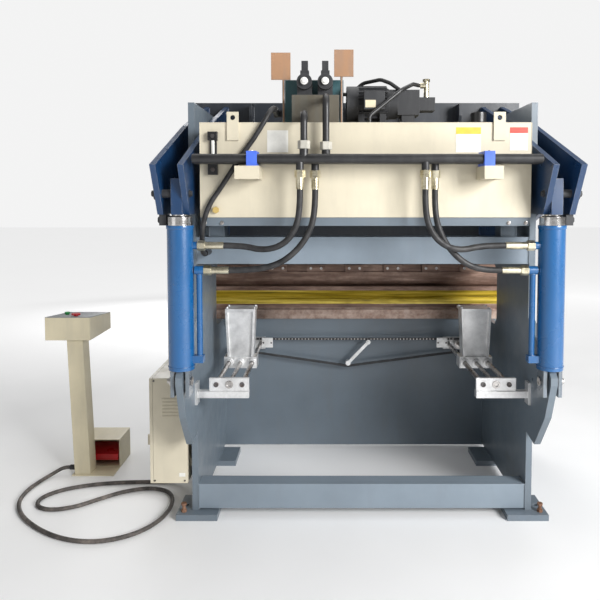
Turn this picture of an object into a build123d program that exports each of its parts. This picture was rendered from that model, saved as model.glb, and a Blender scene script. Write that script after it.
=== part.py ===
"""Sheet metal brake with rear hydraulic cylinders, back gauge and foot-pedal stand.

Frame: millimetres, +Z up, origin on the floor at the centre of the four anchor holes,
+Y towards the operator, +X along the bending line.
"""

from build123d import *
import math
import os

# ---- driving dimensions -------------------------------------------------
CLEAR_WIDTH = 1600.0        # between the side frames
FRAME_PLATE = 30.0          # side frame thickness
FRAME_REAR = -350.0         # rear edge of the side frames
FRAME_FRONT = 460.0         # rear face of the bed
FRAME_TOP = 2009.0
FOOT_THICK = 29.0
FOOT_SIZE = 200.0
FOOT_CENTRE_X = 800.0
FOOT_CENTRE_Y = 300.0
ANCHOR_X = 868.0
ANCHOR_HOLE_R = 11.0
BOLT_R = 8.0
BED_LENGTH = 2000.0
BED_THICK = 50.0
BED_BOTTOM = 20.0
BED_TOP = 817.0
DIE_RAIL_H = 72.0
DIE_SIDE = 130.0
DIE_LENGTH = 1830.0
RAM_BOTTOM = 1150.0
RAM_TOP = 2135.0
THROAT_REAR = 180.0
THROAT_BOTTOM = 830.0
THROAT_TOP = 1180.0
ARM_THICK = 25.0
INNER_ARM_X = 768.0         # inboard face of the inner arm
OUTER_ARM_X = 884.0
CYL_X = 815.0
CYL_Y = -595.0
CYL_R = 57.0
CYL_TOP = 1437.0
ROD_R = 34.0
ROD_TOP = 1484.0
HORN_TOP = 800.0
PIN_Z = 745.0
PIN_R = 14.0
LEVEL_OFFSET = 65.0         # levelling bolt to anchor hole
TANK_X = 735.0
TANK_REAR = -550.0
TANK_FRONT = -190.0
TANK_BOTTOM = 1470.0
TANK_TOP = 1890.0
TANK_WALL = 4.0
HEADER_R = 21.0
HEADER_X = 745.0
HEADER_Z = 1723.0
HEADER_Y = {"front": -655.0, "rear": -605.0}
HOSE_D = 27.0
GAUGE_X = 639.0             # centre of each back gauge column
GAUGE_ROD_Z = 665.0
GAUGE_ROD_R = 12.5
GAUGE_SCREW_R = 10.0
GAUGE_ROD_GAP = 62.0        # rod to screw spacing
GAUGE_REAR = -390.0
CABINET_X = (-1034.0, -851.0)
CABINET_Y = (-350.0, 100.0)
CABINET_Z = (163.0, 683.0)
POST_X = (-1586.0, -1498.0)
POST_Y = (80.0, 165.0)
CABLE_D = 20.0
PIPE_D = 18.0

CLOSE_GAP = 0.3             # gap between faces that slide past each other
SIDES = {"left": -1, "right": 1}
FRAME_IN = CLEAR_WIDTH / 2
FRAME_OUT = FRAME_IN + FRAME_PLATE
WORK_Y = FRAME_FRONT + BED_THICK / 2

os.makedirs("parts", exist_ok=True)
saved = {}


# ---- small shape helpers ------------------------------------------------
def block(x, y, z):
    """Box from three (low, high) pairs."""
    size = [abs(high - low) for low, high in (x, y, z)]
    centre = [(low + high) / 2 for low, high in (x, y, z)]
    return Pos(*centre) * Box(*size)


def rod(start, axis, radius, length):
    """Cylinder from a start point along +X, +Y or +Z."""
    plane = Plane(origin=start, z_dir=axis)
    return extrude(plane * Circle(radius), amount=length)


def hexagon(start, axis, across_flats, length):
    plane = Plane(origin=start, z_dir=axis)
    outline = plane * RegularPolygon(across_flats / 2, 6, major_radius=False)
    return extrude(outline, amount=length)


def plate_yz(points, x_low, x_high):
    """Flat plate with a (Y, Z) outline, between two X faces."""
    outline = make_face(Polyline(*[(x_low, y, z) for y, z in points], close=True))
    return extrude(outline, amount=x_high - x_low, dir=(1, 0, 0))


def plate_xz(points, y_low, y_high):
    """Flat plate with an (X, Z) outline, between two Y faces."""
    outline = make_face(Polyline(*[(x, y_low, z) for x, z in points], close=True))
    return extrude(outline, amount=y_high - y_low, dir=(0, 1, 0))


def bent_tube(points, radii, diameter):
    """Solid tube along straight runs joined by tangent arcs."""
    path = FilletPolyline(*points, radius=radii)
    profile = Plane(origin=path @ 0, z_dir=path % 0) * Circle(diameter / 2)
    return sweep(profile, path=path), path


def both_sides(shape):
    """A shape and its mirror image about the machine's centre plane."""
    return [shape, mirror(shape, about=Plane.YZ)]


def save(name, *solids):
    """Write one node as one STEP, its solids kept apart."""
    bodies = [s for shape in solids for s in shape.solids()]
    saved[name] = bodies
    export_step(Compound(children=bodies), f"parts/{name}.step")


# ---- frame --------------------------------------------------------------
def side_frame(side):
    """C-shaped side plate with a horn at the back that carries its cylinder."""
    x_low, x_high = sorted((side * FRAME_IN, side * FRAME_OUT))
    outline = [
        (FRAME_REAR, FOOT_THICK),
        (FRAME_REAR, 420),
        (-460, 403),
        (-590, 575),
        (-655, 740),
        (-655, HORN_TOP - 26),
        (-629, HORN_TOP),
        (-530, HORN_TOP),
        (-500, 880),
        (FRAME_REAR, 980),
        (FRAME_REAR, FRAME_TOP),
        (FRAME_FRONT - 10, FRAME_TOP),
        (FRAME_FRONT - 10, THROAT_TOP + 60),
        (FRAME_FRONT - 70, THROAT_TOP),
        (THROAT_REAR + 50, THROAT_TOP),
        (THROAT_REAR, THROAT_TOP - 50),
        (THROAT_REAR, THROAT_BOTTOM + 40),
        (THROAT_REAR + 40, THROAT_BOTTOM),
        (FRAME_FRONT - 90, THROAT_BOTTOM),
        (FRAME_FRONT, BED_TOP - 60),
        (FRAME_FRONT, FOOT_THICK),
    ]
    plate = plate_yz(outline, x_low, x_high)
    for y, z in ((-420, 700), (-420, 660)):
        plate -= rod((x_low - 1, y, z), (1, 0, 0), 7, FRAME_PLATE + 2)
    plate -= rod((x_low - 1, CYL_Y, PIN_Z), (1, 0, 0), PIN_R, FRAME_PLATE + 2)
    guide = block((x_low + 2, x_high - 2), (FRAME_FRONT - 10, FRAME_FRONT - CLOSE_GAP),
                  (1262, FRAME_TOP - 12))
    return plate + guide


def foot_plate(x_side, y_side):
    x = x_side * FOOT_CENTRE_X
    y = y_side * FOOT_CENTRE_Y
    half = FOOT_SIZE / 2
    plate = block((x - half, x + half), (y - half, y + half), (0, FOOT_THICK))
    plate -= rod((x_side * ANCHOR_X, y, -1), (0, 0, 1), ANCHOR_HOLE_R, FOOT_THICK + 2)
    bolt_y = y - LEVEL_OFFSET
    plate -= rod((x_side * ANCHOR_X, bolt_y, -1), (0, 0, 1), BOLT_R, FOOT_THICK + 2)
    return plate


def levelling_bolt(x_side, y_side):
    """Hexagon-headed jacking bolt with a lock nut on the foot plate."""
    x = x_side * ANCHOR_X
    y = y_side * FOOT_CENTRE_Y - LEVEL_OFFSET
    shank = rod((x, y, 0), (0, 0, 1), BOLT_R, 62)
    nut = hexagon((x, y, FOOT_THICK), (0, 0, 1), 24, 13)
    head = hexagon((x, y, 62), (0, 0, 1), 24, 10)
    return shank + nut + head


def build_frame():
    for name, side in SIDES.items():
        save(f"{name}_side_frame", side_frame(side))
    corners = [(x, y) for x in (-1, 1) for y in (-1, 1)]
    save("foot_plates", *[foot_plate(x, y) for x, y in corners])
    save("levelling_bolts", *[levelling_bolt(x, y) for x, y in corners])

    bed = block((-BED_LENGTH / 2, BED_LENGTH / 2), (FRAME_FRONT, FRAME_FRONT + BED_THICK),
                (BED_BOTTOM, BED_TOP))
    save("bed_plate", bed)
    rail = block((-FRAME_IN, FRAME_IN), (FRAME_REAR + 2, FRAME_REAR + 22), (37, 158))
    rail += block((-FRAME_IN, FRAME_IN), (FRAME_REAR + 22, FRAME_REAR + 90), (146, 158))
    beam = block((-FRAME_IN, FRAME_IN), (FRAME_REAR + 4, FRAME_REAR + 16), (1240, 1370))
    beam += block((-FRAME_IN, FRAME_IN), (FRAME_REAR + 16, FRAME_REAR + 110), (1358, 1370))
    save("rear_cross_members", rail, beam)

    shelf = block((-TANK_X, TANK_X), (TANK_REAR + 6, TANK_FRONT + 10), (1458, TANK_BOTTOM))
    shelf += block((-TANK_X, TANK_X), (TANK_REAR + 6, TANK_REAR + 16), (1432, 1458))
    foot_y = (FRAME_REAR + 4, FRAME_REAR + 110)
    for x in (-700, 700):
        shelf += block((x - 35, x + 35), foot_y, (1370, 1458))
    save("tank_shelf", shelf)

    rail_top = BED_TOP + DIE_RAIL_H
    die_rail = block((-930, 930), (WORK_Y - 45, WORK_Y + 45), (BED_TOP, rail_top))
    die_rail += block((-930, 930), (WORK_Y - 58, WORK_Y - 45), (BED_TOP + 34, rail_top - 12))
    save("die_rail", die_rail)
    save("die_block", die_block(rail_top))


def die_block(bottom):
    """Square block with a V groove of a different width in each of three faces."""
    half = DIE_SIDE / 2
    middle = bottom + half
    die = block((-DIE_LENGTH / 2, DIE_LENGTH / 2), (WORK_Y - half, WORK_Y + half),
                (bottom, bottom + DIE_SIDE))
    low = -DIE_LENGTH / 2 - 1
    high = -low
    for half_width, side in ((42, -1), (26, 1)):
        face = WORK_Y + side * half
        depth = half_width * 0.85
        groove = [(face + side, middle - half_width), (face + side, middle + half_width),
                  (face - side * depth, middle)]
        die -= plate_yz(groove, low, high)
    top = bottom + DIE_SIDE
    die -= plate_yz([(WORK_Y - 16, top + 1), (WORK_Y + 16, top + 1), (WORK_Y, top - 16)], low, high)
    return die


# ---- ram, arms and cylinders --------------------------------------------
ARM_OUTLINE = [
    (-725, 1695),
    (-610, ROD_TOP),
    (-250, ROD_TOP),
    (180, 1330),
    (FRAME_FRONT, 1330),
    (FRAME_FRONT, 2110),
    (-126, 1927),
]
UPPER_PORT_Z = 1348.0
LOWER_PORT_Z = 1239.0
BASE_PORT_Z = 850.0
PORT_X = 738.0              # open face of the port bosses
PIPE_X = 733.0
BORE_R = 45.0
RUN_FIT = 0.05              # radial clearance of the rod and the piston
GLAND_TOP = 1474.0
EAR_BOTTOM = 684.0
ROD_PIN_Z = 1575.0
ROD_PIN_R = 18.0
CLAMP_PITCH = 235.0         # keeps the end punch clamps between the side frames


def build_ram():
    ram = block((-BED_LENGTH / 2, BED_LENGTH / 2), (FRAME_FRONT, FRAME_FRONT + BED_THICK),
                (RAM_BOTTOM, RAM_TOP))
    for x in (-620, -330, 0, 330, 620):
        outline = [(FRAME_FRONT, RAM_TOP - 20), (FRAME_FRONT - 110, RAM_TOP - 20),
                   (FRAME_FRONT - 110, RAM_TOP - 90), (FRAME_FRONT, 1720)]
        ram += plate_yz(outline, x - 8, x + 8)
    save("ram_plate", ram)

    pin_hole = rod((INNER_ARM_X - 1, CYL_Y - 20, ROD_PIN_Z), (1, 0, 0), ROD_PIN_R, 160)
    arms = []
    for x in (INNER_ARM_X, OUTER_ARM_X):
        arms += both_sides(plate_yz(ARM_OUTLINE, x, x + ARM_THICK) - pin_hole)
    save("ram_arms", *arms)

    block_x = (INNER_ARM_X + ARM_THICK, CYL_X + 27)
    rod_block = block(block_x, (CYL_Y - 48, CYL_Y + 48), (ROD_TOP, 1640))
    arm_outside = OUTER_ARM_X + ARM_THICK
    pin = rod((INNER_ARM_X, CYL_Y - 20, ROD_PIN_Z), (1, 0, 0), ROD_PIN_R, arm_outside - INNER_ARM_X)
    pin += rod((arm_outside, CYL_Y - 20, ROD_PIN_Z), (1, 0, 0), ROD_PIN_R + 9, 9)
    save("rod_blocks", *both_sides(rod_block - pin_hole))
    stop = block((OUTER_ARM_X - 10, OUTER_ARM_X + 21), (CYL_Y - 5, CYL_Y + 60), (1436, ROD_TOP))
    stop += hexagon((OUTER_ARM_X + 21, CYL_Y + 20, 1460), (1, 0, 0), 24, 10)
    save("rod_pins", *both_sides(pin), *both_sides(stop))

    die_top = BED_TOP + DIE_RAIL_H + DIE_SIDE
    save("punch", punch(die_top))
    clamps = []
    for i in range(7):
        x = (i - 3) * CLAMP_PITCH
        clamps.append(block((x - 55, x + 55), (WORK_Y - 44, WORK_Y - 15), (1108, RAM_BOTTOM)))
    save("punch_clamps", *clamps)


def punch(die_top):
    """Straight bending punch whose tip reaches into the die's top groove."""
    tip = die_top - 12
    outline = [(WORK_Y, tip), (WORK_Y + 13, die_top + 5), (WORK_Y + 15, die_top + 45),
               (WORK_Y + 15, RAM_BOTTOM), (WORK_Y - 15, RAM_BOTTOM),
               (WORK_Y - 15, 1108), (WORK_Y - 24, 1104), (WORK_Y - 24, 1076),
               (WORK_Y - 13, die_top + 5)]
    return plate_yz(outline, -DIE_LENGTH / 2, DIE_LENGTH / 2)


def build_cylinders():
    base = HORN_TOP + 1
    barrel = rod((CYL_X, CYL_Y, base), (0, 0, 1), CYL_R, CYL_TOP - base)
    barrel -= rod((CYL_X, CYL_Y, 850), (0, 0, 1), BORE_R, CYL_TOP - 849)
    for ear_x in (CYL_X - 33, CYL_X + 33):
        ear = block((ear_x - 8, ear_x + 8), (CYL_Y - 42, CYL_Y + 36), (EAR_BOTTOM, base))
        barrel += ear - rod((ear_x - 9, CYL_Y, PIN_Z), (1, 0, 0), PIN_R, 18)
    save("cylinder_barrels", *both_sides(barrel))
    gland = rod((CYL_X, CYL_Y, CYL_TOP), (0, 0, 1), CYL_R - 3, GLAND_TOP - CYL_TOP)
    gland += rod((CYL_X, CYL_Y, CYL_TOP - 40), (0, 0, 1), BORE_R, 40)
    gland -= rod((CYL_X, CYL_Y, CYL_TOP - 41), (0, 0, 1), ROD_R + RUN_FIT, 120)
    save("cylinder_glands", *both_sides(gland))
    piston_rod = rod((CYL_X, CYL_Y, 900), (0, 0, 1), ROD_R, ROD_TOP - 900)
    piston_rod += rod((CYL_X, CYL_Y, 900), (0, 0, 1), BORE_R - RUN_FIT, 60)
    save("piston_rods", *both_sides(piston_rod))
    pin = rod((CYL_X - 45, CYL_Y, PIN_Z), (1, 0, 0), PIN_R, 90)
    pin += rod((CYL_X + 45, CYL_Y, PIN_Z), (1, 0, 0), PIN_R + 6, 8)
    save("cylinder_pins", *both_sides(pin))

    wall = CYL_X - CYL_R
    upper = rod((PORT_X, CYL_Y, UPPER_PORT_Z), (1, 0, 0), 17, wall - PORT_X + 12)
    lower = rod((PORT_X - 26, CYL_Y, LOWER_PORT_Z), (1, 0, 0), 19, 40)
    pipe = rod((PIPE_X, CYL_Y, BASE_PORT_Z), (0, 0, 1), 13, LOWER_PORT_Z - BASE_PORT_Z)
    foot = block((PIPE_X - 18, wall + 12), (CYL_Y - 19, CYL_Y + 19), (BASE_PORT_Z - 20, BASE_PORT_Z + 12))
    bore = rod((CYL_X, CYL_Y, 800), (0, 0, 1), CYL_R, 620)
    ports = [upper - bore, (lower + pipe + foot) - bore]
    save("cylinder_ports", *[s for port in ports for s in both_sides(port)])


# ---- hydraulic power pack -----------------------------------------------
HEADER_DROPS = {"front": (-287.0, 248.0), "rear": (-223.0, 298.0)}
HEADER_RISERS = {"front": -270.0, "rear": -176.0}
RISER_TOP = {"front": 1920.0, "rear": 2000.0}
DROP_LENGTH = 82.0
LUG_X = (-587.0, 590.0)
GLASS_Z = (1704.0, 1809.0)
CLAMPS = [(-490.0, (-562.0, -458.0)), (514.0, (492.0, 573.0))]


def build_tank():
    outer = block((-TANK_X, TANK_X), (TANK_REAR, TANK_FRONT), (TANK_BOTTOM, TANK_TOP - 6))
    inner = block((-TANK_X + TANK_WALL, TANK_X - TANK_WALL),
                  (TANK_REAR + TANK_WALL, TANK_FRONT - TANK_WALL),
                  (TANK_BOTTOM + TANK_WALL, TANK_TOP))
    save("oil_tank", outer - inner)
    lid = block((-TANK_X, TANK_X), (TANK_REAR, TANK_FRONT), (TANK_TOP - 6, TANK_TOP))
    save("tank_lid", lid)

    lugs = []
    for x in LUG_X:
        lug = block((x - 26, x + 26), (TANK_REAR - 8, TANK_REAR), (1810, 1935))
        lugs.append(lug - rod((x, TANK_REAR - 9, 1910), (0, 1, 0), 11, 10))
    gauge = block((-690, -658), (TANK_REAR - 4, TANK_REAR), (1658, 1847))
    for ends in ((1658, GLASS_Z[0]), (GLASS_Z[1], 1847)):
        gauge += block((-695, -653), (TANK_REAR - 24, TANK_REAR), ends)
    glass = rod((-674, TANK_REAR - 14, GLASS_Z[0]), (0, 0, 1), 8, GLASS_Z[1] - GLASS_Z[0])
    plug = hexagon((-664, TANK_REAR, 1503), (0, -1, 0), 27, 14)
    breather = rod((560, -300, TANK_TOP), (0, 0, 1), 22, 30)
    breather += rod((560, -300, TANK_TOP + 30), (0, 0, 1), 38, 46)
    save("tank_fittings", gauge, glass, plug, breather)
    return lugs


def build_header(lugs):
    pipes = []
    for name, y in HEADER_Y.items():
        pipe = rod((-HEADER_X, y, HEADER_Z), (1, 0, 0), HEADER_R, 2 * HEADER_X)
        for x in HEADER_DROPS[name]:
            pipe += rod((x, y, HEADER_Z - 48), (0, 0, 1), 17, 48)
        pipe += rod((HEADER_RISERS[name], y, HEADER_Z), (0, 0, 1), 19, 42)
        pipes.append(pipe)
    save("header_pipes", *pipes)

    clamps, brackets = [], []
    y_low = HEADER_Y["front"] - 30
    base = HEADER_Z - 31
    for x, (left, right) in CLAMPS:
        clamp = block((x - 22, x + 22), (y_low, HEADER_Y["rear"] + 26), (base, HEADER_Z + 31))
        for y in HEADER_Y.values():
            clamp -= rod((x - 23, y, HEADER_Z), (1, 0, 0), HEADER_R, 46)
        clamps.append(clamp)
        bracket = block((left, right), (y_low, TANK_REAR), (base - 56, base))
        bracket -= block((left + 5, right - 5), (y_low + 6, TANK_REAR + 1), (base - 57, base - 8))
        brackets.append(bracket)
    save("pipe_clamps", *clamps)
    save("tank_brackets", *brackets, *lugs)

    risers = []
    for name, x in HEADER_RISERS.items():
        y, top = HEADER_Y[name], RISER_TOP[name]
        points = [(x, -470, top), (x, y, top), (x, y, HEADER_Z + 42)]
        pipe, path = bent_tube(points, [50], 30)
        risers.append(pipe + hexagon((x, y, HEADER_Z + 42), (0, 0, 1), 46, 34))
    return risers


def build_valves():
    manifold = block((-331, -116), (-470, -330), (TANK_TOP, 2024))
    body = block((-371, -92), (-328, -200), (TANK_TOP, 2118))
    save("valve_blocks", manifold, body)
    coils, tops = [], []
    for x in (-274, -179):
        coil = rod((x, -475, 2084), (0, 1, 0), 35, 145)
        coil += block((x - 34, x + 34), (-440, -345), (2024, 2084))
        coil += rod((x, -485, 2084), (0, 1, 0), 17, 10)
        coils.append(coil)
        top = block((x - 20, x + 20), (-430, -370), (2118, 2142))
        top += block((x - 15, x + 15), (-420, -382), (2142, 2188))
        tops.append(top - rod((x, -475, 2084), (0, 1, 0), 35, 145))
    save("solenoid_coils", *coils, *tops)

    flags = []
    for x, z in ((-385, 2164), (-93, 2178)):
        post_x = x + 12 if x < -200 else x - 10
        post = rod((post_x, -396, TANK_TOP), (0, 0, 1), 6, z - TANK_TOP)
        flag = block((x - 45, x + 45), (-408, -402), (z - 60, z + 64))
        flags.append(post + flag)
    save("flag_plates", *flags)


MOTOR_Y = -330.0
MOTOR_Z = 2002.0


def build_motor():
    body = rod((-30, MOTOR_Y, MOTOR_Z), (1, 0, 0), 74, 150)
    for i in range(16):
        fin = block((-26, 112), (MOTOR_Y - 2, MOTOR_Y + 2), (MOTOR_Z + 70, MOTOR_Z + 86))
        body += fin.rotate(Axis((0, MOTOR_Y, MOTOR_Z), (1, 0, 0)), 22.5 * i + 11)
    for x in (-10, 90):
        body += block((x - 14, x + 14), (MOTOR_Y - 62, MOTOR_Y + 62), (TANK_TOP, MOTOR_Z - 50))
    body += rod((-30, MOTOR_Y, MOTOR_Z), (1, 0, 0), 84, 8)
    body -= rod((-31, MOTOR_Y, MOTOR_Z), (1, 0, 0), 8.05, 40)
    box = block((-2, 92), (MOTOR_Y - 136, MOTOR_Y - 88), (MOTOR_Z - 42, MOTOR_Z + 42))
    box += block((15, 75), (MOTOR_Y - 88, MOTOR_Y - 60), (MOTOR_Z - 30, MOTOR_Z + 30))
    save("motor_body", body, box - body)
    fan = rod((-58, MOTOR_Y, MOTOR_Z), (1, 0, 0), 8, 66)
    fan += rod((-62, MOTOR_Y, MOTOR_Z), (1, 0, 0), 22, 14)
    for i in range(6):
        blade = block((-62, -40), (MOTOR_Y - 2, MOTOR_Y + 2), (MOTOR_Z + 18, MOTOR_Z + 66))
        fan += blade.rotate(Axis((0, MOTOR_Y, MOTOR_Z), (1, 0, 0)), 60 * i)
    save("motor_fan", fan)
    cover = rod((-78, MOTOR_Y, MOTOR_Z), (1, 0, 0), 84, 48)
    cover -= rod((-74, MOTOR_Y, MOTOR_Z), (1, 0, 0), 80, 48)
    for i in range(10):
        slot = block((-80, -70), (MOTOR_Y - 4, MOTOR_Y + 4), (MOTOR_Z + 24, MOTOR_Z + 66))
        cover -= slot.rotate(Axis((0, MOTOR_Y, MOTOR_Z), (1, 0, 0)), 36 * i)
    save("fan_cover", cover)

    pump = rod((120, MOTOR_Y, MOTOR_Z), (1, 0, 0), 70, 40)
    pump += block((160, 262), (MOTOR_Y - 58, MOTOR_Y + 58), (1945, 2062))
    pump += block((262, 338), (MOTOR_Y - 40, MOTOR_Y + 40), (1968, 2030))
    pump += block((180, 240), (MOTOR_Y - 50, MOTOR_Y + 50), (TANK_TOP, 1945))
    save("gear_pump", pump)
    elbow = rod((300, -345, 2030), (0, 0, 1), 13, 82) + hexagon((300, -345, 2106), (0, 0, 1), 30, 12)
    elbow += rod((270, -345, 2088), (1, 0, 0), 13, 30)
    return elbow


# ---- hoses, pipes and cables --------------------------------------------
HOSES = {
    "upper_left_hose": [(-287, -655, 1593), (-287, -655, 1505), (-307, -650, 1418),
                        (-362, -642, 1352), (-448, -622, 1328), (-544, -595, 1348),
                        (-625, -595, 1348)],
    "lower_left_hose": [(-223, -605, 1593), (-223, -605, 1494), (-250, -606, 1400),
                        (-308, -604, 1320), (-390, -600, 1262), (-503, -595, 1239),
                        (-603, -595, 1239)],
    "upper_right_hose": [(248, -655, 1593), (248, -655, 1505), (269, -652, 1420),
                         (322, -648, 1356), (404, -636, 1328), (510, -595, 1348),
                         (612, -595, 1348)],
    "lower_right_hose": [(298, -605, 1593), (298, -605, 1494), (322, -606, 1402),
                         (373, -604, 1322), (440, -600, 1264), (519, -595, 1239),
                         (597, -595, 1239)],
}
CONDUIT_D = 22.0
CONDUIT = [(-410, -480, 1960), (-410, -515, 1960), (-424, -554, 1936), (-452, -569, 1880),
           (-499, -565, 1808), (-552, -565, 1738), (-598, -565, 1666), (-642, -566, 1598),
           (-690, -568, 1530), (-715, -568, 1462), (-725, -562, 1400), (-733, -532, 1344),
           (-738, -488, 1300), (-738, -440, 1300)]
CABLE = [(-940, -10, 130), (-940, -10, 52), (-968, -12, 24), (-1015, -14, 10.5),
         (-1095, -18, 10.5), (-1220, -20, 10.5), (-1350, -33, 10.5), (-1480, -64, 10.5),
         (-1590, -118, 10.5), (-1652, -200, 10.5), (-1630, -282, 10.5), (-1545, -320, 10.5),
         (-1435, -290, 10.5), (-1340, -205, 10.5), (-1240, -125, 10.5), (-1125, -86, 10.5),
         (-1020, -110, 10.5), (-962, -195, 10.5), (-950, -310, 10.5), (-978, -432, 10.5),
         (-1058, -535, 10.5), (-1180, -592, 10.5), (-1312, -590, 10.5), (-1445, -538, 10.5),
         (-1572, -452, 10.5), (-1682, -345, 10.5), (-1748, -225, 10.5), (-1758, -105, 10.5),
         (-1735, 0, 10.5), (-1700, 78, 16), (-1662, 115, 32), (-1625, 115, 32)]
FITTING_R = 16.0
ARC_SHARE = 0.45


def route_radii(points):
    """Largest arc that the two runs beside each corner leave room for."""
    vectors = [Vector(*b) - Vector(*a) for a, b in zip(points, points[1:])]
    radii = []
    for before, after in zip(vectors, vectors[1:]):
        half_turn = math.radians(before.get_angle(after)) / 2
        radii.append(ARC_SHARE * min(before.length, after.length) / math.tan(half_turn))
    return radii


def cord(name, points, diameter):
    radii = route_radii(points)
    tube, path = bent_tube(points, radii, diameter)
    ideal = math.pi * diameter ** 2 / 4 * path.length
    print(f"{name}: length {path.length:.0f}, volume ratio {tube.volume / ideal:.4f},",
          "radii", [round(r) for r in radii])
    save(name, tube)


def hose_end(point, axis, length):
    """Crimped ferrule and a swivel nut, from the hose's end outwards."""
    ferrule = rod(point, axis, FITTING_R, length - 32)
    start = [p + a * (length - 32) for p, a in zip(point, axis)]
    return ferrule + hexagon(start, axis, 40, 32)


def build_hoses(elbow, risers):
    fittings = [elbow]
    for name, points in HOSES.items():
        cord(name, points, HOSE_D)
        fittings.append(hose_end(points[0], (0, 0, 1), DROP_LENGTH))
        x, y, z = points[-1]
        direction = 1 if x > 0 else -1
        reach = PORT_X if z > 1300 else PORT_X - 26
        fittings.append(hose_end((x, y, z), (direction, 0, 0), reach - abs(x)))
    save("hose_fittings", *fittings)
    cord("valve_conduit", CONDUIT, CONDUIT_D)
    cord("floor_cable", CABLE, CABLE_D)

    route = [(-92, -235, 2066), (-55, -235, 2066), (5, -268, 2114), (85, -330, 2120),
             (128, -356, 2098), (172, -360, 2066)]
    pressure, _ = bent_tube(route, [25, 60, 60, 40], PIPE_D)
    route = [(20, -500, TANK_TOP), (20, -500, 1925), (170, -455, 2050), (232, -385, 2088),
             (270, -345, 2088)]
    back, _ = bent_tube(route, [25, 60, 30], PIPE_D)
    save("steel_pipes", *risers, pressure - Compound(children=saved["gear_pump"]), back - elbow)


def build_glands():
    """Screwed glands where the cables enter, one solid each."""
    valve = rod((-410, -480, 1960), (0, 1, 0), 15, 152)
    valve += block((-425, -371), (-328, -300), (1945, 1975))
    beam = rod((-738, -440, 1300), (0, 1, 0), 15, 440 + FRAME_REAR + 4)
    cabinet = rod((CABLE[0][0], CABLE[0][1], CABLE[0][2]), (0, 0, 1), 14, CABINET_Z[0] - CABLE[0][2])
    stand = rod(CABLE[-1], (1, 0, 0), 14, 45) - Compound(children=saved["pedestal_stand"])
    save("cable_glands", valve, beam, cabinet, stand)


# ---- electrical cabinet -------------------------------------------------
SHEET = 3.0
DOOR_THICK = 16.0
KNUCKLE_R = 6.0


def build_cabinet():
    (x0, x1), (y0, y1), (z0, z1) = CABINET_X, CABINET_Y, CABINET_Z
    shell = block((x0 + DOOR_THICK, x1), (y0, y1), (z0, z1))
    shell -= block((x0, x1 - SHEET), (y0 + SHEET, y1 - SHEET), (z0 + SHEET, z1 - SHEET))
    for z in (z0 + 80, z1 - 80):
        shell += block((x1, -FRAME_OUT), (y0 + 60, y1 - 60), (z - 20, z + 20))
    door = block((x0, x0 + DOOR_THICK - 1), (y0, y1), (z0, z1))
    door -= block((x0 + SHEET, x0 + DOOR_THICK), (y0 + SHEET, y1 - SHEET), (z0 + SHEET, z1 - SHEET))
    hx, hy = x0 + DOOR_THICK + 8.5, y1 + KNUCKLE_R
    for z in (z0 + 60, z1 - 100):
        shell += rod((hx, hy, z), (0, 0, 1), KNUCKLE_R, 20) + rod((hx, hy, z), (0, 0, 1), 3, 40)
        shell += block((hx, hx + 8), (y1, hy), (z, z + 20))
        upper = (z + 20 + CLOSE_GAP, z + 40)
        leaf = rod((hx, hy, upper[0]), (0, 0, 1), KNUCKLE_R - CLOSE_GAP, upper[1] - upper[0])
        leaf += block((x0 + 6, x0 + 14), (y1, hy), upper) + block((x0 + 14, hx), (y1 + 2, hy), upper)
        door += leaf - rod((hx, hy, z), (0, 0, 1), 3 + RUN_FIT, 40)
    save("cabinet_shell", shell)
    latch = rod((x0 - 5, y0 + 30, 380), (1, 0, 0), 14, 5)
    latch += block((x0 - 17, x0 - 5), (y0 + 24, y0 + 36), (345, 395))
    save("cabinet_door", door, latch)
    plate = block((x1 - 12, x1 - 9), (y0 + 30, y1 - 30), (z0 + 40, z1 - 40))
    parts = [plate]
    for z in (300, 470, 590):
        for i in range(5):
            y = y0 + 80 + i * 65
            parts.append(block((x1 - 80, x1 - 12), (y, y + 50), (z - 40, z + 35)))
    save("switchgear", *parts)


# ---- pedestal -----------------------------------------------------------
CONSOLE_X = (-1726.0, -1478.0)
CONSOLE_Y = (60.0, 380.0)
CONSOLE_Z = (772.0, 898.0)
CONSOLE_FALL = 30.0         # the panel slopes down towards the operator
BASE_PLATE = 6.0
HOOD_X = (-1581.0, -1366.0)
HOOD_Y = (180.0, 364.0)
HOOD_TOP = 165.0
PEDAL_PIVOT = (330.0, 40.0)
BUTTON_GAP = 7.0            # under the head, more than its travel
BUTTON_HEAD = 8.0
LEAN = -30.0
BUTTONS = {"start_button": (-1665.0, 210.0, 15.0), "emergency_stop": (-1580.0, 125.0, 24.0)}


def panel_height(y):
    """Height of the sloping panel's underside at a depth Y."""
    (y0, y1), z1 = CONSOLE_Y, CONSOLE_Z[1]
    return z1 - CONSOLE_FALL * (y - y0) / (y1 - y0)


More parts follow.
